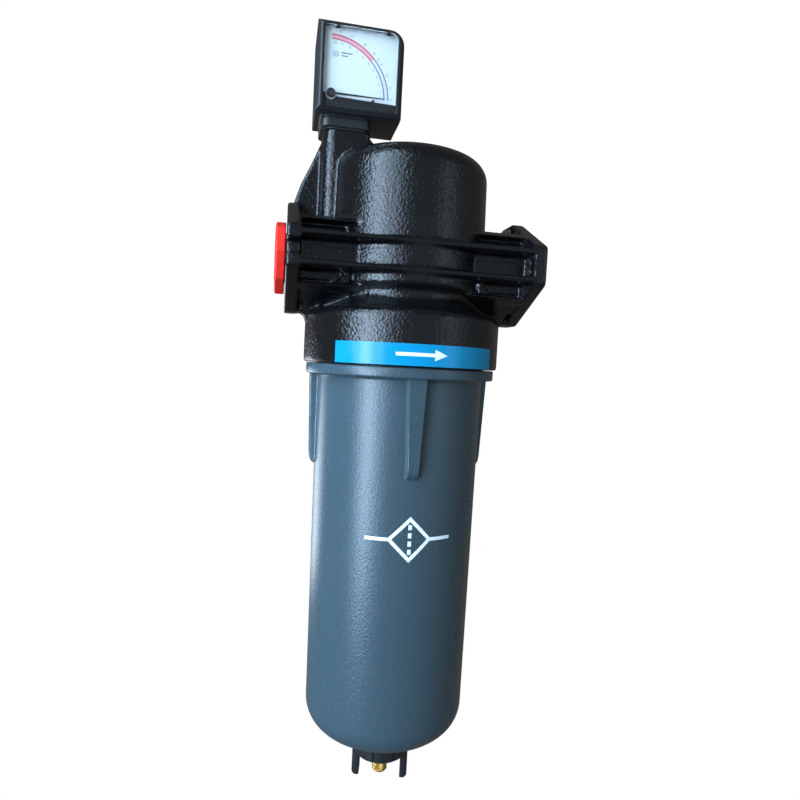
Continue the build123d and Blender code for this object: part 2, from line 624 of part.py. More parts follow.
def gauge_spring():
    """Coil spring that holds the piston at zero."""
    z0, z1 = GAUGE_Z0 + 17.6, GAUGE_Z1 - 13.0
    coil = Helix(pitch=2.4, height=z1 - z0, radius=3.4)
    section = Plane(origin=coil @ 0, z_dir=coil % 0) * Circle(0.35)
    wire = sweep(section, path=coil, is_frenet=True)
    return Pos(PISTON_X, PISTON_Y, z0) * wire


def gauge_gasket():
    """Flat seal between pillar and gauge foot."""
    pad = block(PILLAR_X0 + 0.6, PILLAR_X1 - 0.6, -13.6, 12.4, PILLAR_TOP_Z + 0.02, FOOT_Z0 - 0.02)
    pad = fillet(pad.edges().filter_by(Axis.Z), 5.0)
    pad -= rod(1.6, PILLAR_TOP_Z - 1, FOOT_Z0 + 1, TAP_X, -TAP_Y)
    pad -= rod(1.6, PILLAR_TOP_Z - 1, FOOT_Z0 + 1, TAP_X, TAP_Y)
    for y in (-8.5, 8.5):
        pad -= rod(1.8, PILLAR_TOP_Z - 1, FOOT_Z0 + 1, -31.5, y)
    return pad


def gauge_screw(y):
    """Socket-head screw from the gauge foot into the pillar."""
    shank = rod(1.45, PILLAR_TOP_Z - 7.5, FOOT_Z0 + 4.0, -31.5, y)
    head = rod(2.8, FOOT_Z0 + 3.42, FOOT_Z0 + 6.4, -31.5, y)
    socket = Pos(-31.5, y, FOOT_Z0 + 5.0) * extrude(RegularPolygon(1.4, 6), 2.0)
    return shank + head - socket


def drain_body():
    """Drain housing: base, slotted cage, guide tube and threaded outlet stem."""
    base = rod(13.0, -279.0, -276.4)
    floor = rod(CAGE_R1, -277.4, -275.4)
    cage = tube(CAGE_R1, CAGE_R0, -276.0, CAGE_TOP_Z)
    for turn in (0, 60, 120):
        cage -= Rot(0, 0, turn) * block(-30, 30, -4.0, 4.0, -272.0, CAGE_TOP_Z - 5)
    roof = rod(CAGE_R1, CAGE_TOP_Z - 0.5, CAGE_TOP_Z + 1.5)
    roof -= rod(GUIDE_R + 4, CAGE_TOP_Z - 2, CAGE_TOP_Z + 3)
    guide = rod(GUIDE_R, -276.0, -253.0)
    stem = rod(STEM_R, -300.4, -276.0)
    body = base + floor + cage + roof + guide + stem
    body -= rod(1.6, -301.0, CAGE_TOP_Z)
    body -= rod(3.0, -301.0, -287.0)
    body -= x_rod(1.0, -6.0, 6.0, 0, -273.6)
    return body


def drain_seal():
    """Flat ring that seals the drain base on the bowl floor."""
    return tube(12.2, STEM_R + 0.15, -279.58, -279.02)


def drain_float():
    """Hollow float that rides on the guide tube."""
    body = tube(FLOAT_R, GUIDE_R + 0.05, FLOAT_Z0, FLOAT_Z1)
    return body - tube(14.2, 6.4, FLOAT_Z0 - 1, FLOAT_Z1 - 2.0)


def drain_collar():
    """Round fluted drain nut with its two guard wings."""
    nut = rod(COLLAR_R, COLLAR_BOTTOM_Z, COLLAR_TOP_Z)
    nut = chamfer(nut.faces().sort_by(Axis.Z)[0].edges(), 1.0)
    for k in range(8):
        flute = Rot(0, 0, 45.0 * k + 36.0) * rod(1.5, COLLAR_BOTTOM_Z - 1, COLLAR_TOP_Z + 1, COLLAR_R + 0.6, 0)
        nut -= flute
    nut -= rod(STEM_R + 0.05, -310.0, -280.0)
    for side in (-1, 1):
        x0, x1 = sorted((side * 12.7, side * 17.2))
        blade = block(x0, x1, -5.2, 5.2, WING_TIP_Z, COLLAR_BOTTOM_Z + 2)
        tip = [e for e in blade.edges().filter_by(Axis.X) if e.center().Z < WING_TIP_Z + 0.1]
        blade = fillet(tip, 2.6)
        rim = blade.edges().filter_by(Axis.Y)
        foot = [e for e in rim if e.center().Z < WING_TIP_Z + 0.1 and abs(e.center().X) > 16]
        blade = chamfer(foot, 1.6)
        nut += blade
    return Rot(0, 0, WING_TURN_DEG) * nut


def drain_screw():
    """Brass knurled drain screw with its shank and vent bore."""
    knob = rod(KNOB_R - 0.25, KNOB_BOTTOM_Z, KNOB_TOP_Z)
    knob = fillet(knob.faces().sort_by(Axis.Z)[0].edges(), 1.6)
    for k in range(24):
        tooth = Rot(0, 0, 15.0 * k) * Pos(KNOB_R - 0.35, 0, (KNOB_BOTTOM_Z + KNOB_TOP_Z) / 2 + 0.9)
        knob += tooth * Rot(0, 0, 45) * Box(0.5, 0.5, KNOB_TOP_Z - KNOB_BOTTOM_Z - 3.0)
    shank = rod(2.95, KNOB_TOP_Z - 0.5, -289.0)
    bore = rod(1.1, KNOB_BOTTOM_Z - 1, -288.0)
    return knob + shank - bore


PARTS = {
    "filter_head": filter_head(),
    "inlet_plug": inlet_plug(),
    "label_band": label_piece(-LABEL_END_DEG, LABEL_SEAM_DEG),
    "label_tab": label_piece(LABEL_SEAM_DEG + 0.03, LABEL_END_DEG, 0.06),
    "bowl": bowl(),
    "bowl_o_ring": o_ring(48.72, GROOVE_Z, 1.2),
    "element_top_cap": element_top_cap(),
    "element_o_ring": o_ring(17.94, -29.0, 1.0),
    "element_inner_core": perforated(ELEM_CORE_R1, ELEM_CORE_R0 + 0.02, 2.2, 12, 18),
    "element_media": element_media(),
    "element_outer_mesh": tube(ELEM_MESH_R, ELEM_MEDIA_R, WRAP_Z0, WRAP_Z1),
    "element_foam_sock": tube(ELEM_SOCK_R - 0.02, ELEM_MESH_R + 0.02, WRAP_Z0, WRAP_Z1),
    "element_bottom_cap": element_bottom_cap(),
    "gauge_case": gauge_case(),
    "gauge_bezel": gauge_bezel(),
    "gauge_window": gauge_window(),
    "gauge_dial": gauge_dial(),
    "gauge_mask": gauge_mask(),
    "gauge_needle": gauge_needle(),
    "gauge_spindle": gauge_spindle(),
    "gauge_piston": gauge_piston(),
    "gauge_spring": gauge_spring(),
    "gauge_gasket": gauge_gasket(),
    "gauge_screw_front": gauge_screw(-8.5),
    "gauge_screw_rear": gauge_screw(8.5),
    "drain_body": drain_body(),
    "drain_seal": drain_seal(),
    "drain_float": drain_float(),
    "drain_collar": drain_collar(),
    "drain_screw": drain_screw(),
}

for name, shape in PARTS.items():
    shape.label = name
    export_step(shape, f"parts/{name}.step")
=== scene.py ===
import bpy
import math
import numpy as np
from mathutils import Matrix, Vector

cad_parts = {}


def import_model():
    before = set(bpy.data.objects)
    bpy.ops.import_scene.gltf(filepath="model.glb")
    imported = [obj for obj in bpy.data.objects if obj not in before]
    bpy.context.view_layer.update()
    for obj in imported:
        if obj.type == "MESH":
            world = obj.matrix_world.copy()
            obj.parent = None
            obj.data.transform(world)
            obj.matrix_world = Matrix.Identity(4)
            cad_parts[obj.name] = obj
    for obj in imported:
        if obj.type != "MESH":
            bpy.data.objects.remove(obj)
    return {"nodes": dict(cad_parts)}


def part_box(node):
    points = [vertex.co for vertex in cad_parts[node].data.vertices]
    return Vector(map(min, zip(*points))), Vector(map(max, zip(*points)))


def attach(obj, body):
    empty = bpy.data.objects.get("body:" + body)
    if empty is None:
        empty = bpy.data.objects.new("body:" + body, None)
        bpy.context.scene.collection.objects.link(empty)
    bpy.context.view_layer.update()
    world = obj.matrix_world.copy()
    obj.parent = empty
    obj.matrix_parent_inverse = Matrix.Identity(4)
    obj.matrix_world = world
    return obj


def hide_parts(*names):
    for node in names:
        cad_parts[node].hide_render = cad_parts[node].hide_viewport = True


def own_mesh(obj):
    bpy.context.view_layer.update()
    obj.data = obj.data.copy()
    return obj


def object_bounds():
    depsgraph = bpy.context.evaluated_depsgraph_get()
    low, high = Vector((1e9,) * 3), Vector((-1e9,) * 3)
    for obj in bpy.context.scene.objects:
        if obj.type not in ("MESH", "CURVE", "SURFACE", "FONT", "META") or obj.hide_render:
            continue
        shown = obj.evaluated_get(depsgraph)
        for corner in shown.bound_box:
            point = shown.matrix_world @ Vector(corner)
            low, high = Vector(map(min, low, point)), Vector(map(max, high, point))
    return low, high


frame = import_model()
CAD_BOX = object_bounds()
nodes = frame["nodes"]
MM = 0.001


# ---------------------------------------------------------------- node helpers
def material(name):
    """New node material and its Principled shader."""
    mat = bpy.data.materials.new(name)
    mat.use_nodes = True
    tree = mat.node_tree
    return mat, tree, tree.nodes["Principled BSDF"]


def add(tree, kind, **values):
    """Add a node; keyword values go to its inputs by name or its properties."""
    node = tree.nodes.new(kind)
    for key, value in values.items():
        if hasattr(node, key):
            setattr(node, key, value)
        else:
            node.inputs[key.replace("_", " ")].default_value = value
    return node


def place(tree):
    """Object coordinates in metres."""
    return tree.nodes.new("ShaderNodeTexCoord").outputs["Object"]


def noise(tree, coord, scale, detail=3.0, rough=0.5):
    """Noise texture whose scale is in features per metre."""
    node = add(tree, "ShaderNodeTexNoise", Scale=scale, Detail=detail, Roughness=rough)
    tree.links.new(coord, node.inputs["Vector"])
    return node.outputs["Fac"]


def cells(tree, coord, scale, feature="F1"):
    """Voronoi distance texture."""
    node = add(tree, "ShaderNodeTexVoronoi", Scale=scale, feature=feature)
    tree.links.new(coord, node.inputs["Vector"])
    return node.outputs["Distance"]


def calc(tree, operation, a, b=None, clamp=False):
    """Math node with sockets or numbers."""
    node = add(tree, "ShaderNodeMath", operation=operation, use_clamp=clamp)
    for socket, value in zip(node.inputs, (a, b)):
        if value is None:
            continue
        if isinstance(value, (int, float)):
            socket.default_value = value
        else:
            tree.links.new(value, socket)
    return node.outputs[0]


def spread(tree, value, low, high, to_low, to_high):
    """Map a value from one range to another, clamped."""
    node = add(tree, "ShaderNodeMapRange", clamp=True)
    node.inputs["From Min"].default_value = low
    node.inputs["From Max"].default_value = high
    node.inputs["To Min"].default_value = to_low
    node.inputs["To Max"].default_value = to_high
    tree.links.new(value, node.inputs["Value"])
    return node.outputs["Result"]


def blend_colour(tree, factor, a, b):
    """Mix two colours, each a tuple or a socket."""
    node = add(tree, "ShaderNodeMix", data_type="RGBA")
    tree.links.new(factor, node.inputs["Factor"])
    for socket, value in ((node.inputs[6], a), (node.inputs[7], b)):
        if isinstance(value, tuple):
            socket.default_value = (*value, 1.0)
        else:
            tree.links.new(value, socket)
    return node.outputs[2]


def bump(tree, shader, height, distance, strength=1.0):
    """Bump into the shader's normal, distance in metres; strength may be a socket."""
    node = add(tree, "ShaderNodeBump", Distance=distance)
    if isinstance(strength, float):
        node.inputs["Strength"].default_value = strength
    else:
        tree.links.new(strength, node.inputs["Strength"])
    tree.links.new(height, node.inputs["Height"])
    tree.links.new(node.outputs["Normal"], shader.inputs["Normal"])


# ---------------------------------------------------------------- materials
PAD_TOP_Z = (0.0655, 0.0672)
PILLAR_SIDE_X = (-0.0262, -0.0240)
PORT_FACE_X = (0.0690, 0.0697)


def head_paint():
    """Gloss black powder coat with a leathery peel, left smooth on the pillar's top and the port faces."""
    mat, tree, shader = material("head_black_powder_coat")
    at = place(tree)
    broad = noise(tree, at, 18.0, 2.0)
    tint = spread(tree, broad, 0.3, 0.7, 0.0, 1.0)
    base = blend_colour(tree, tint, (0.0028, 0.0031, 0.0036), (0.0050, 0.0056, 0.0066))
    tree.links.new(base, shader.inputs["Base Color"])
    fine = noise(tree, at, 900.0, 2.0, 0.6)
    tree.links.new(spread(tree, fine, 0.25, 0.75, 0.13, 0.24), shader.inputs["Roughness"])
    shader.inputs["Specular IOR Level"].default_value = 0.5
    peel = noise(tree, at, 640.0, 2.0, 0.6)
    grain = cells(tree, at, 760.0, "SMOOTH_F1")
    height = calc(tree, "ADD", peel, calc(tree, "MULTIPLY", grain, 0.5))
    split = tree.nodes.new("ShaderNodeSeparateXYZ")
    tree.links.new(at, split.inputs[0])
    below_pad = spread(tree, split.outputs["Z"], *PAD_TOP_Z, 1.0, 0.0)
    off_pillar = spread(tree, split.outputs["X"], *PILLAR_SIDE_X, 0.0, 1.0)
    off_face = spread(tree, calc(tree, "ABSOLUTE", split.outputs["X"]), *PORT_FACE_X, 1.0, 0.15)
    mask = calc(tree, "MAXIMUM", below_pad, off_pillar)
    bump(tree, shader, height, 0.00030, calc(tree, "MULTIPLY", mask, off_face))
    return mat


def bowl_paint():
    """Semi-gloss blue-grey powder coat whose grain is finer than the head's."""
    mat, tree, shader = material("bowl_blue_grey_powder_coat")
    at = place(tree)
    broad = noise(tree, at, 9.0, 3.0)
    tint = spread(tree, broad, 0.3, 0.7, 0.0, 1.0)
    base = blend_colour(tree, tint, (0.0405, 0.0705, 0.0870), (0.0450, 0.0765, 0.0940))
    tree.links.new(base, shader.inputs["Base Color"])
    fine = noise(tree, at, 1500.0, 2.0)
    tree.links.new(spread(tree, fine, 0.3, 0.7, 0.22, 0.31), shader.inputs["Roughness"])
    grain = noise(tree, at, 840.0, 2.0, 0.6)
    bump(tree, shader, grain, 0.00015)
    return mat


def plain(name, base, rough, vary=0.05, scale=300.0, depth=0.00002, metal=0.0, second=None, gloss=0.5):
    """Moulded, machined or printed surface with slight changes of tone and gloss and a fine bump."""
    mat, tree, shader = material(name)
    at = place(tree)
    shade = noise(tree, at, scale * 0.1, 2.0)
    other = second or tuple(min(1.0, c * 1.18 + 0.002) for c in base)
    tone = spread(tree, shade, 0.3, 0.7, 0, 1)
    tree.links.new(blend_colour(tree, tone, base, other), shader.inputs["Base Color"])
    fine = noise(tree, at, scale, 3.0)
    tree.links.new(spread(tree, fine, 0.3, 0.7, rough - vary, rough + vary), shader.inputs["Roughness"])
    shader.inputs["Metallic"].default_value = metal
    shader.inputs["Specular IOR Level"].default_value = gloss
    bump(tree, shader, fine, depth)
    return mat


def pane():
    """Clear polycarbonate with a faint haze."""
    mat, tree, shader = material("clear_pane")
    at = place(tree)
    shader.inputs["Base Color"].default_value = (0.97, 0.99, 1.0, 1.0)
    shader.inputs["Transmission Weight"].default_value = 1.0
    shader.inputs["IOR"].default_value = 1.2
    haze = noise(tree, at, 120.0, 3.0)
    tree.links.new(spread(tree, haze, 0.3, 0.7, 0.02, 0.06), shader.inputs["Roughness"])
    return mat


FILM_DEPTH = 0.000004
INK_DEPTH = 0.000002

HEAD = head_paint()
BOWL = bowl_paint()
PLUG = plain("plug_red_plastic", (0.80, 0.012, 0.008), 0.34, second=(0.93, 0.03, 0.015))
LABEL = plain(
    "label_blue_film", (0.0, 0.255, 0.485), 0.18, depth=FILM_DEPTH, second=(0.0, 0.265, 0.50), gloss=0.3
)
# The tab gets a darker copy of the label blue: painted shade for the label's right side, which turns away
# from the light.
LABEL_TAB_SHADED = plain(
    "label_blue_tab_painted_shade", (0.0, 0.23, 0.43), 0.20, depth=FILM_DEPTH, second=(0.0, 0.24, 0.45), gloss=0.3
)
BLACK = plain("moulded_black", (0.012, 0.013, 0.0145), 0.36, scale=900.0, depth=0.00003)
DIAL = plain("dial_face", (0.93, 0.95, 0.93), 0.5, depth=INK_DEPTH, second=(0.94, 0.96, 0.94))
PRINT_WHITE = plain("print_white", (0.78, 0.84, 0.88), 0.4, depth=INK_DEPTH)
PRINT_RED = plain("print_red", (0.72, 0.10, 0.13), 0.5, depth=INK_DEPTH)
PRINT_PINK = plain("print_pink", (0.90, 0.42, 0.48), 0.5, depth=INK_DEPTH)
PRINT_GREY = plain("print_grey", (0.22, 0.22, 0.30), 0.5, depth=INK_DEPTH)
PRINT_PALE = plain("print_pale", (0.82, 0.80, 0.87), 0.5, depth=INK_DEPTH)
NEEDLE = plain("needle_black", (0.02, 0.02, 0.022), 0.4)
STEEL = plain("turned_steel", (0.5, 0.5, 0.52), 0.3, metal=1.0)
MESH = plain("woven_steel", (0.45, 0.46, 0.47), 0.4, metal=1.0, scale=2000.0, depth=0.0002)
MEDIA = plain("pleated_fibre", (0.80, 0.79, 0.73), 0.85, scale=3000.0, depth=0.0002)
FOAM = plain("drain_felt", (0.74, 0.70, 0.48), 0.95, scale=1200.0, depth=0.0005)
CAP = plain("cap_nylon", (0.03, 0.09, 0.26), 0.42)
FLOAT = plain("float_plastic", (0.7, 0.71, 0.69), 0.5)
BRASS = plain("drain_brass", (0.56, 0.34, 0.09), 0.32, metal=1.0, scale=900.0)
RUBBER = plain("seal_nitrile", (0.012, 0.012, 0.012), 0.6)

FINISH = {
    "filter_head": HEAD, "inlet_plug": PLUG, "label_band": LABEL, "label_tab": LABEL_TAB_SHADED,
    "bowl": BOWL, "bowl_o_ring": RUBBER, "element_top_cap": CAP, "element_o_ring": RUBBER,
    "element_inner_core": STEEL, "element_media": MEDIA, "element_outer_mesh": MESH,
    "element_foam_sock": FOAM, "element_bottom_cap": CAP, "gauge_case": BLACK, "gauge_bezel": BLACK,
    "gauge_window": pane(), "gauge_dial": DIAL, "gauge_mask": BLACK, "gauge_needle": NEEDLE,
    "gauge_spindle": STEEL, "gauge_piston": STEEL, "gauge_spring": STEEL, "gauge_gasket": RUBBER,
    "gauge_screw_front": STEEL, "gauge_screw_rear": STEEL, "drain_body": BLACK, "drain_seal": RUBBER,
    "drain_float": FLOAT, "drain_collar": BLACK, "drain_screw": BRASS,
}
for name, finish in FINISH.items():
    mesh = nodes[name].data
    mesh.materials.clear()
    mesh.materials.append(finish)


# ---------------------------------------------------------------- geometry helpers
def link(obj):
    """Put an object in the scene."""
    bpy.context.scene.collection.objects.link(obj)
    return obj


def baked(obj):
    """Mesh of an object with its modifiers applied."""
    bpy.context.view_layer.update()
    return bpy.data.meshes.new_from_object(obj.evaluated_get(bpy.context.evaluated_depsgraph_get()))


def finish_piece(obj, finish, body, sharp_deg):
    """Give a new piece its material, smooth shading and body."""
    mesh = obj.data
    mesh.materials.clear()
    mesh.materials.append(finish)
    mesh.polygons.foreach_set("use_smooth", [True] * len(mesh.polygons))
    mesh.set_sharp_from_angle(angle=math.radians(sharp_deg))
    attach(obj, body)
    return obj


def eased(node, name, voxel, passes, most, finish, body, sharp_deg=50.0):
    """Replace a CAD node by its own shape with edges rounded as a casting's are; voxel in mm."""
    obj = link(bpy.data.objects.new(name, nodes[node].data.copy()))
    skin = obj.modifiers.new("skin", "REMESH")
    skin.mode = "VOXEL"
    skin.voxel_size = voxel * MM
    ease = obj.modifiers.new("ease", "SMOOTH")
    ease.factor = 0.5
    ease.iterations = passes
    mesh = baked(obj)
    obj.modifiers.clear()
    obj.data = mesh
    triangles = sum(len(p.vertices) - 2 for p in mesh.polygons)
    if triangles > most:
        fewer = obj.modifiers.new("fewer", "DECIMATE")
        fewer.ratio = most / triangles
        mesh = baked(obj)
        obj.modifiers.clear()
        obj.data = mesh
    finish_piece(obj, finish, body, sharp_deg)
    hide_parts(node)
    return obj


def from_data(name, verts, faces):
    """Object made of vertices in metres and faces."""
    mesh = bpy.data.meshes.new(name)
    mesh.from_pydata(verts, [], faces)
    mesh.validate()
    mesh.update()
    return link(bpy.data.objects.new(name, mesh))


def lathe(name, profile, angles, shape=None):
    """Closed profile [(r, z)] in mm turned about Z at the given angles (radians, from -Y towards +X)."""
    profile = np.array(profile, float)
    angle = np.array(angles, float)
    r = np.repeat(profile[:, 0][None, :], len(angle), 0)
    z = np.repeat(profile[:, 1][None, :], len(angle), 0)
    turned = np.repeat(angle[:, None], profile.shape[0], 1)
    if shape is not None:
        turned, r = shape(turned, r, z)
    x = r * np.sin(turned)
    y = -r * np.cos(turned)
    verts = np.stack((x, y, z), 2).reshape(-1, 3) * MM
    rings, steps = len(angle), len(profile)
    faces = []
    for i in range(rings):
        j = (i + 1) % rings
        for k in range(steps):
            n = (k + 1) % steps
            faces.append((i * steps + k, j * steps + k, j * steps + n, i * steps + n))
    return from_data(name, [tuple(v) for v in verts], faces)


def arc(cx, cz, r, start, end, count):
    """Points of an arc in a profile, angles in degrees."""
    turn = np.radians(np.linspace(start, end, count))
    return [(cx + r * math.cos(t), cz + r * math.sin(t)) for t in turn]


def line(a, b, count):
    """Points of a straight profile run, the last one left out."""
    return [(a[0] + (b[0] - a[0]) * i / count, a[1] + (b[1] - a[1]) * i / count) for i in range(count)]


def printed(name, strips, at, finish, body, lift):
    """Thin closed film made of strips; each strip is a list of (s, low, high) and at() places a point."""
    verts, faces = [], []
    for strip in strips:
        first = len(verts)
        for s, low, high in strip:
            for value, height in ((low, lift), (high, lift), (high, -lift), (low, -lift)):
                verts.append(tuple(c * MM for c in at(s, value, height)))
        for i in range(len(strip) - 1):
            a, b = first + 4 * i, first + 4 * i + 4
            for k in range(4):
                n = (k + 1) % 4
                faces.append((a + k, b + k, b + n, a + n))
        last = len(verts) - 4
        faces.append((first, first + 1, first + 2, first + 3))
        faces.append((last + 3, last + 2, last + 1, last))
    obj = from_data(name, verts, faces)
    return finish_piece(obj, finish, body, 30.0)


# ---------------------------------------------------------------- eased castings and mouldings
eased("filter_head", "head_casting", 0.85, 5, 190000, HEAD, "housing")
eased("gauge_bezel", "bezel_moulding", 0.40, 6, 60000, BLACK, "housing")
eased("gauge_case", "case_moulding", 0.50, 5, 80000, BLACK, "housing")
eased("drain_collar", "collar_moulding", 0.40, 4, 50000, BLACK, "collar")
eased("inlet_plug", "plug_moulding", 0.45, 3, 60000, PLUG, "plug")


# ---------------------------------------------------------------- gauge spring
spring = link(bpy.data.objects.new("movement_spring", nodes["gauge_spring"].data.copy()))
finish_piece(spring, STEEL, "housing", 40.0)
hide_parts("gauge_spring")
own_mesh(spring)


# ---------------------------------------------------------------- bowl
# Lengths in mm. The outline is drawn with the bowl's low end at BASE_Z and then moved by DROP.
BOWL_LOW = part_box("bowl")[0] / MM
BASE_Z = -285.3
DROP = BOWL_LOW.z - BASE_Z
HOLE_R, BOSS_R, FLOOR_Z = 6.6, 13.5, -279.6
CROWN_R, CROWN_Z = 82.5, -202.34
CROWN_START = -79.8
KNEE_R, KNEE_X, KNEE_Z = 16.0, 31.7, -260.8
LEAN = 61.53
FOOT_R = KNEE_X + KNEE_R
WALL_R, WALL_Z = 49.2, -66.1
RING_R, RING_LOW, RING_TOP, BEAD_R = 55.8, -64.6, -58.65, 1.2
NECK_R, THREAD_R, THREAD_PITCH, THREADS = 49.95, 49.3, 2.4, 4
GROOVE_R, GROOVE_LOW, GROOVE_TOP = 47.5, -44.5, -41.5
MOUTH_R, MOUTH_Z = 46.0, -37.5
THICK = 3.2
RIB_END = -121.0
RIB_Z = (-117.9, -117.4, -116.6, -115.0, -112.0, -66.0, -63.0)
RIB_R = (48.4, 49.6, 50.8, 51.7, 52.2, 53.6, 53.7)
RIB_TAPER_Z, RIB_TAPER = (-119.5, -63.0), (3.1, 5.0)
RIB_HALF = 4.05
RIB_EDGE = 0.7
OUTSIDE_R = 48.2


def bowl_profile():
    """Outside of the bowl from the drain hole up to the neck, and back down its inside."""
    rows = [(HOLE_R, BASE_Z), (13.2, BASE_Z), (BOSS_R, -285.0), (BOSS_R, -284.3), (13.9, -283.8)]
    rows += arc(0.0, CROWN_Z, CROWN_R, CROWN_START, -LEAN, 9)[:-1]
    rows += arc(KNEE_X, KNEE_Z, KNEE_R, -LEAN, 0.0, 13)[:-1]
    mid_r = FOOT_R + (WALL_R - FOOT_R) * (RIB_END - KNEE_Z) / (WALL_Z - KNEE_Z)
    rows += line((FOOT_R, KNEE_Z), (mid_r, RIB_END), 14)
    rows += line((mid_r, RIB_END), (WALL_R, WALL_Z), 64)
    rows += [(WALL_R, WALL_Z), (49.35, -65.5), (49.75, -65.0), (50.3, -64.7)]
    rows += [(50.9, RING_LOW), (52.0, RING_LOW)]
    rows += arc(RING_R - BEAD_R, RING_LOW + BEAD_R, BEAD_R, -90.0, 0.0, 5)
    rows += [(RING_R, -59.4), (55.65, -59.0), (55.4, -58.75), (55.0, RING_TOP), (NECK_R, RING_TOP)]
    for turn in range(THREADS - 1, -1, -1):
        z = -48.0 - THREAD_PITCH * turn
        rows += [(NECK_R, z - 0.6), (THREAD_R, z - 0.45), (THREAD_R, z + 0.45), (NECK_R, z + 0.6)]
    rows += [(NECK_R, GROOVE_LOW), (GROOVE_R, GROOVE_LOW), (GROOVE_R, GROOVE_TOP), (NECK_R, GROOVE_TOP)]
    rows += [(NECK_R, -38.7), (48.75, MOUTH_Z), (MOUTH_R, MOUTH_Z), (MOUTH_R, RING_LOW)]
    rows += arc(KNEE_X, KNEE_Z, KNEE_R - THICK, 0.0, -LEAN, 9)
    rows += arc(0.0, CROWN_Z, CROWN_R - THICK, -LEAN, CROWN_START, 7)
    rows += [(13.9, FLOOR_Z), (HOLE_R, FLOOR_Z)]
    return [(r, z + DROP) for r, z in rows]


def with_ribs(angle, r, z):
    """Raise the four tapering ribs out of the wall; the steps beside a rib follow its taper."""
    level = z - DROP
    turn = (angle + math.pi / 4) % (math.pi / 2) - math.pi / 4
    side = r * np.sin(turn)
    half = np.interp(level, RIB_TAPER_Z, RIB_TAPER)
    hold = np.clip(np.abs(side) / 3.0, 0.0, 1.0) * np.clip((8.4 - np.abs(side)) / 2.4, 0.0, 1.0)
    side = side + np.sign(side) * (half - RIB_HALF) * hold
    moved = angle - turn + np.arcsin(np.clip(side / r, -1.0, 1.0))
    t = np.clip((half + RIB_EDGE - np.abs(side)) / (2 * RIB_EDGE), 0.0, 1.0)
    rise = t * t * (3.0 - 2.0 * t)
    crest = np.interp(level, RIB_Z, RIB_R) / np.cos(turn)
    outside = (level > RIB_END) & (level < RING_LOW + 0.01) & (r > OUTSIDE_R)
    return moved, np.where(outside, r + np.maximum(crest - r, 0.0) * rise, r)


def bowl_angles():
    """Turning steps: close together at the edges of each rib, wide between them."""
    steps = (0.0, 1.3, 2.4, 3.0, 3.3, 3.55, 3.75, 3.95, 4.15, 4.35, 4.55, 4.8, 5.15, 5.8, 6.8, 8.4)
    near = [math.asin(v / 49.0) for v in (*[-v for v in steps[:0:-1]], *steps)]
    far = np.linspace(near[-1], math.pi / 2 + near[0], 24)[1:-1]
    return [q * math.pi / 2 + a for q in range(4) for a in (*near, *far)]


bowl = lathe("bowl_casting", bowl_profile(), bowl_angles(), with_ribs)
finish_piece(bowl, BOWL, "bowl_assembly", 32.0)
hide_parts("bowl")


# ---------------------------------------------------------------- drain knob
KNOB_LOW, KNOB_HIGH = (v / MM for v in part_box("drain_screw"))
KNOB_R = KNOB_HIGH.x
KNURLS, KNURL_HEIGHT, KNURL_DEPTH = 26, 1.15, 0.42
STEM_R = 2.95


def knurled(angle, r, z):
    """Diamond knurl on the knob's side."""
    rise = z - KNOB_LOW.z
    u = angle * KNURLS / (2 * math.pi)
    v = rise / KNURL_HEIGHT
    groove = np.maximum(np.abs((u + v) % 1.0 * 2 - 1), np.abs((u - v) % 1.0 * 2 - 1)) ** 2
    side = (rise > 1.7) & (rise < 7.6) & (r > KNOB_R - 0.1)
    return angle, np.where(side, r - KNURL_DEPTH * groove, r)


def knob_profile():
    """Outline of the drain screw: domed end, knurled grip and stem, with a bore through it."""
    low, r = KNOB_LOW.z, KNOB_R
    rows = [(1.1, low + 0.3), (1.4, low), (2.6, low), (3.4, low + 0.15), (4.0, low + 0.55), (4.4, low + 1.1)]
    rows += line((r - 0.05, low + 1.5), (r - 0.05, low + 7.7), 44)
    rows += [(r - 0.1, low + 7.8), (r - 0.5, low + 8.2), (STEM_R, low + 8.2), (STEM_R, KNOB_HIGH.z - 0.3)]
    rows += [(STEM_R - 0.3, KNOB_HIGH.z), (1.1, KNOB_HIGH.z)]
    return rows


knob = lathe("drain_knob", knob_profile(), np.linspace(0, 2 * math.pi, 209)[:-1], knurled)
finish_piece(knob, BRASS, "knob", 60.0)
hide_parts("drain_screw")


# ---------------------------------------------------------------- printing on the bowl and the label
MARK_R = 48.5
MARK_S, MARK_Z = 0.6, -150.5
MARK_REACH = 24.5
DIAMOND, STROKE = 12.5, 1.9
DASHES_Z = (-8.6, -4.1, 0.4, 4.9)


def on_bowl(s, z, height):
    """Point on the bowl's wall: s along the circumference from the front, height above the wall."""
    r = WALL_R + (FOOT_R - WALL_R) * (WALL_Z - z) / (WALL_Z - KNEE_Z) + height
    return r * math.sin(s / MARK_R), -r * math.cos(s / MARK_R), z + DROP


LABEL_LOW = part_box("label_band")[0] / MM
LABEL_R = -LABEL_LOW.y


def on_label(s, z, height):
    """Point on the label band, z above the band's lower edge."""
    r = LABEL_R + height
    return r * math.sin(s / LABEL_R), -r * math.cos(s / LABEL_R), LABEL_LOW.z + z


def bar(s0, s1, low, high, count=10):
    """Strip of even height from s0 to s1."""
    return [(s, low, high) for s in np.linspace(s0, s1, count)]


def diamond():
    """Upper and lower half of a diamond outline."""
    strips = []
    for flip in (1, -1):
        columns = []
        for s in np.linspace(-DIAMOND, DIAMOND, 29):
            outer = max(DIAMOND - abs(s), 0.03)
            inner = max(DIAMOND - STROKE * 1.41 - abs(s), 0.0)
            low, high = sorted((flip * inner, flip * outer))
            columns.append((MARK_S + s, MARK_Z + low, MARK_Z + high))
        strips.append(columns)
    return strips


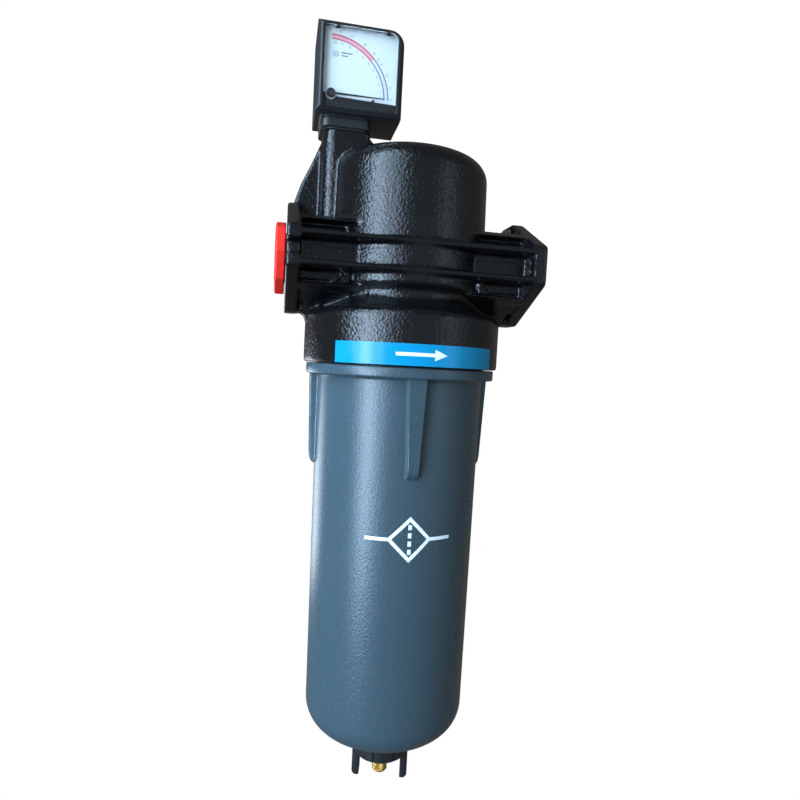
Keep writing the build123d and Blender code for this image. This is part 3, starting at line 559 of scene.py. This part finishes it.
mark = diamond()
for low in DASHES_Z:
    mark.append(bar(MARK_S - STROKE / 2, MARK_S + STROKE / 2, MARK_Z + low + 0.5, MARK_Z + low + 3.2, 2))
for s0, s1 in ((-MARK_REACH, -DIAMOND + 0.6), (DIAMOND - 0.6, MARK_REACH)):
    mark.append(bar(MARK_S + s0, MARK_S + s1, MARK_Z - STROKE / 2, MARK_Z + STROKE / 2))
printed("bowl_filter_symbol", mark, on_bowl, PRINT_WHITE, "bowl_assembly", 0.05)

ARROW_Z = 5.9
SHAFT_HALF, HEAD_HALF = 0.9, 2.9
SHAFT_FROM, SHAFT_TO, ARROW_TIP = -13.5, 7.0, 14.0
arrow = [bar(SHAFT_FROM, SHAFT_TO, ARROW_Z - SHAFT_HALF, ARROW_Z + SHAFT_HALF, 9)]
arrow_head = []
for t in np.linspace(0, 1, 6):
    half = HEAD_HALF * (1 - t) + 0.02
    arrow_head.append((SHAFT_TO + (ARROW_TIP - SHAFT_TO) * t, ARROW_Z - half, ARROW_Z + half))
arrow.append(arrow_head)
printed("label_flow_arrow", arrow, on_label, PRINT_WHITE, "housing", 0.03)


# ---------------------------------------------------------------- dial printing
DIAL_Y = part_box("gauge_dial")[0].y / MM
NEEDLE_LOW, NEEDLE_HIGH = (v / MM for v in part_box("gauge_needle"))
HUB_Z = (NEEDLE_LOW.z + NEEDLE_HIGH.z) / 2
HUB_X = NEEDLE_LOW.x + 2.4


def on_dial(degrees, r, height):
    """Point on the dial at an angle and radius from the needle's hub."""
    a = math.radians(degrees)
    return HUB_X + r * math.cos(a), DIAL_Y - height, HUB_Z + r * math.sin(a)


def flat(x, z, height):
    """Point on the dial by its place in the part's frame."""
    return x, DIAL_Y - height, z


def by_pictogram(degrees, r, height):
    """Point on the dial at an angle and radius from the pictogram's centre."""
    a = math.radians(degrees)
    return PICTOGRAM_X + r * math.cos(a), DIAL_Y - height, PICTOGRAM_Z + r * math.sin(a)


def sweep(a0, a1, r0, r1):
    """Part of a ring from angle a0 to a1."""
    count = max(2, int(abs(a1 - a0) / 2) + 1)
    return [(a, r0, r1) for a in np.linspace(a0, a1, count)]


def dial_print(name, strips, at, finish, lift=0.02):
    """Print on the dial face."""
    return printed(name, strips, at, finish, "housing", lift)


# Angles in degrees from the scale's zero end, radii in mm from the needle's hub.
SCALE_START, RED_START, SCALE_END = 1, 43.5, 91
INNER_LINE = (29.05, 29.75)
BAND_LIFT = 0.012
PICTOGRAM_X, PICTOGRAM_Z = -47.4, 109.8
INNER_NUMBER_R, INNER_NUMBER_SIZE = 27.5, 2.1
OUTER_NUMBER_R, OUTER_NUMBER_SIZE = 33.5, 1.5
INNER_NUMBERS = (
    ("10", 87.4), ("9", 79.3), ("8", 69.9), ("7", 61.1), ("6", 52.3), ("5", 43.4), ("4", 34.7),
    ("3", 26.0), ("2", 17.9), ("1", 9.4), ("0", 2.6),
)
OUTER_NUMBERS = (
    ("90", 83.3), ("75", 71.8), ("60", 58.1), ("50", 47.1), ("45", 40.9), ("40", 35.5), ("25", 24.4),
    ("15", 13.0), ("0", 2.2),
)

red_lines = [sweep(RED_START, SCALE_END, 31.25, 32.0), sweep(RED_START, SCALE_END, *INNER_LINE)]
dial_print("dial_red_band", red_lines, on_dial, PRINT_RED)
dial_print("dial_pink_band", [sweep(RED_START, SCALE_END, 29.8, 31.3)], on_dial, PRINT_PINK, BAND_LIFT)
grey_lines = [sweep(SCALE_START, RED_START, 31.25, 31.95), sweep(SCALE_START, RED_START, *INNER_LINE)]
dial_print("dial_grey_lines", grey_lines, on_dial, PRINT_GREY)
dial_print("dial_pale_band", [sweep(SCALE_START, RED_START, 29.6, 31.5)], on_dial, PRINT_PALE, BAND_LIFT)
dashes = [bar(-44.5, -38.3, 110.35, 111.05, 2), bar(-44.4, -40.7, 108.85, 109.5, 2)]
dial_print("dial_dashes", dashes, flat, PRINT_GREY)
ring = [(a, 1.15, 1.55) for a in np.linspace(0, 360, 25)]
dot = [(a, 0.0, 0.5) for a in np.linspace(0, 360, 13)]
dial_print("dial_pictogram", [ring, dot], by_pictogram, PRINT_GREY)


def number(name, text, degrees, r, size, finish):
    """Number printed on the dial, upright, centred on its place on the scale."""
    curve = bpy.data.curves.new(name, "FONT")
    curve.body = text
    curve.size = size * MM
    curve.extrude = 0.02 * MM
    curve.align_x = "CENTER"
    curve.align_y = "CENTER"
    shape = link(bpy.data.objects.new(name + "_text", curve))
    mesh = baked(shape)
    bpy.data.objects.remove(shape)
    obj = link(bpy.data.objects.new(name, mesh))
    x, y, z = (c * MM for c in on_dial(degrees, r, 0.0))
    mesh.transform(Matrix.Translation((x, y, z)) @ Matrix.Rotation(math.pi / 2, 4, "X"))
    return finish_piece(obj, finish, "housing", 30.0)


for text, degrees in INNER_NUMBERS:
    number(f"dial_number_{text}", text, degrees, INNER_NUMBER_R, INNER_NUMBER_SIZE, PRINT_GREY)
for text, degrees in OUTER_NUMBERS:
    number(f"dial_outer_{text}", text, degrees, OUTER_NUMBER_R, OUTER_NUMBER_SIZE, PRINT_GREY)


# ---------------------------------------------------------------- bezel clips
def clip(name, x0, x1):
    """Small snap lug at the top of the window frame."""
    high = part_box("gauge_window")[1].z / MM
    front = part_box("gauge_bezel")[0].y / MM
    mesh = bpy.data.meshes.new(name)
    span_y, span_z = (front, front + 1.4), (high - 1.7, high + 0.2)
    corners = [(x, y, z) for x in (x0, x1) for y in span_y for z in span_z]
    faces = [(0, 1, 3, 2), (4, 6, 7, 5), (0, 4, 5, 1), (2, 3, 7, 6), (0, 2, 6, 4), (1, 5, 7, 3)]
    mesh.from_pydata([tuple(c * MM for c in v) for v in corners], [], faces)
    obj = link(bpy.data.objects.new(name, mesh))
    soften = obj.modifiers.new("soften", "BEVEL")
    soften.width = 0.35 * MM
    soften.segments = 3
    obj.data = baked(obj)
    obj.modifiers.clear()
    return finish_piece(obj, BLACK, "housing", 60.0)


clip("window_clip_left", -48.2, -45.9)
clip("window_clip_right", -20.7, -18.4)


# ---------------------------------------------------------------- camera
EYE = Vector((-70.0, -356.4, -56.8)) * MM
YAW, PITCH, ROLL = 0.1973, -0.0606, 0.0514
SENSOR, LENS = 36.0, 27.0315


def camera():
    """Camera close in front of the object, a little to its left and looking slightly down."""
    data = bpy.data.cameras.new("camera")
    data.sensor_width = SENSOR
    data.lens = LENS
    data.clip_start = 0.01
    cam = link(bpy.data.objects.new("camera", data))
    ahead = Vector((math.sin(YAW) * math.cos(PITCH), math.cos(YAW) * math.cos(PITCH), math.sin(PITCH)))
    level = Vector((math.cos(YAW), -math.sin(YAW), 0.0))
    up = level.cross(ahead)
    right = level * math.cos(ROLL) + up * math.sin(ROLL)
    top = up * math.cos(ROLL) - level * math.sin(ROLL)
    turn = Matrix((right, top, -ahead)).transposed()
    cam.matrix_world = Matrix.Translation(EYE) @ turn.to_4x4()
    bpy.context.scene.camera = cam


# ---------------------------------------------------------------- stage and light
WINDOW = (0.57, 0.77, 1.0)
SKY = (0.75, 0.87, 1.0)
ROOM_DARK = (0.135, 0.125, 0.115)
ROOM_FRONT = (0.30, 0.345, 0.38)
FLOOR_REACH, FLOOR_DROP = 12.0, 0.9

# Name, azimuth, distance, height, height looked at, width, height of the lamp, power, colour, shows in gloss.
LAMPS = (
    ("window_upper", -46, 1.25, 1.0, 1.0, 1.10, 1.9, 32.0, WINDOW, True),
    ("window_upper_core", -58, 1.25, 1.0, 1.0, 0.30, 1.9, 15.0, WINDOW, True),
    ("window_lower", -47, 1.25, -0.28, -0.28, 0.80, 0.7, 9.5, WINDOW, True),
    ("window_lower_core", -49, 1.25, -0.26, -0.26, 0.28, 0.8, 9.0, WINDOW, True),
    ("fill_right", 46, 1.4, 0.25, 0.0, 0.34, 0.9, 1.0, SKY, True),
    ("back_left", -146, 1.5, -0.42, -0.3, 0.7, 0.6, 5.6, (0.75, 0.88, 1.0), True),
    ("left_soft", -98, 1.4, -0.1, -0.1, 0.9, 1.4, 14.0, WINDOW, False),
    ("right_soft", 70, 1.4, -0.1, -0.1, 0.9, 1.4, 3.0, (0.80, 0.92, 1.0), False),
    ("back_soft", 165, 1.4, 0.1, -0.1, 0.9, 1.4, 4.0, (0.95, 0.97, 1.0), False),
)


def white_to_camera(tree, usual, white, surface):
    """Show plain white where the camera looks straight at it, and the usual shader to all other light."""
    path = tree.nodes.new("ShaderNodeLightPath")
    mix = tree.nodes.new("ShaderNodeMixShader")
    tree.links.new(path.outputs["Is Camera Ray"], mix.inputs[0])
    tree.links.new(usual.outputs[0], mix.inputs[1])
    tree.links.new(white.outputs[0], mix.inputs[2])
    tree.links.new(mix.outputs[0], surface)


def floor():
    """Pale floor, well below the object, that the camera sees as clean studio white."""
    reach = FLOOR_REACH
    corners = [(-reach, -reach, 0), (reach, -reach, 0), (reach, reach, 0), (-reach, reach, 0)]
    plane = from_data("floor", corners, [(0, 1, 2, 3)])
    plane.location.z = CAD_BOX[0].z - FLOOR_DROP
    mat, tree, shader = material("floor_pale")
    at = place(tree)
    tone = spread(tree, noise(tree, at, 0.6, 2.0), 0.3, 0.7, 0, 1)
    base = blend_colour(tree, tone, (0.28, 0.28, 0.28), (0.32, 0.32, 0.32))
    tree.links.new(base, shader.inputs["Base Color"])
    shader.inputs["Roughness"].default_value = 0.9
    white = add(tree, "ShaderNodeEmission", Strength=1.0)
    white_to_camera(tree, shader, white, tree.nodes["Material Output"].inputs["Surface"])
    plane.data.materials.append(mat)
    plane.visible_glossy = False


def world():
    """White behind the object; elsewhere a dim room with a bluish band in front."""
    scene = bpy.context.scene
    scene.world = bpy.data.worlds.new("studio")
    scene.world.use_nodes = True
    tree = scene.world.node_tree
    room = tree.nodes["Background"]
    at = tree.nodes.new("ShaderNodeTexCoord").outputs["Generated"]
    split = tree.nodes.new("ShaderNodeSeparateXYZ")
    tree.links.new(at, split.inputs[0])
    front = spread(tree, split.outputs["Y"], -0.55, 0.15, 1.0, 0.0)
    off_level = calc(tree, "ABSOLUTE", calc(tree, "SUBTRACT", split.outputs["Z"], 0.05))
    level = spread(tree, off_level, 0.15, 0.65, 1.0, 0.0)
    tone = blend_colour(tree, calc(tree, "MULTIPLY", front, level), ROOM_DARK, ROOM_FRONT)
    tree.links.new(tone, room.inputs["Color"])
    white = add(tree, "ShaderNodeBackground", Strength=1.05)
    white.inputs["Color"].default_value = (1, 1, 1, 1)
    white_to_camera(tree, room, white, tree.nodes["World Output"].inputs["Surface"])


def toward(azimuth, distance, z):
    """Point at an azimuth in degrees, measured from -Y towards +X."""
    a = math.radians(azimuth)
    return distance * math.sin(a), -distance * math.cos(a), z


def area(name, location, target, width, height, power, tint, in_gloss):
    """Rectangular lamp aimed at a target; one that isn't in gloss lights without a reflection."""
    data = bpy.data.lights.new(name, "AREA")
    data.shape = "RECTANGLE"
    data.size, data.size_y = width, height
    data.energy = power
    data.color = tint
    lamp = link(bpy.data.objects.new(name, data))
    lamp.location = location
    lamp.rotation_euler = (Vector(target) - Vector(location)).to_track_quat("-Z", "Y").to_euler()
    lamp.visible_camera = False
    lamp.visible_glossy = in_gloss


camera()
floor()
world()
for name, azimuth, distance, z, target_z, width, height, power, tint, in_gloss in LAMPS:
    area(name, toward(azimuth, distance, z), (0, 0, target_z), width, height, power, tint, in_gloss)
bpy.context.scene.view_settings.view_transform = "Standard"
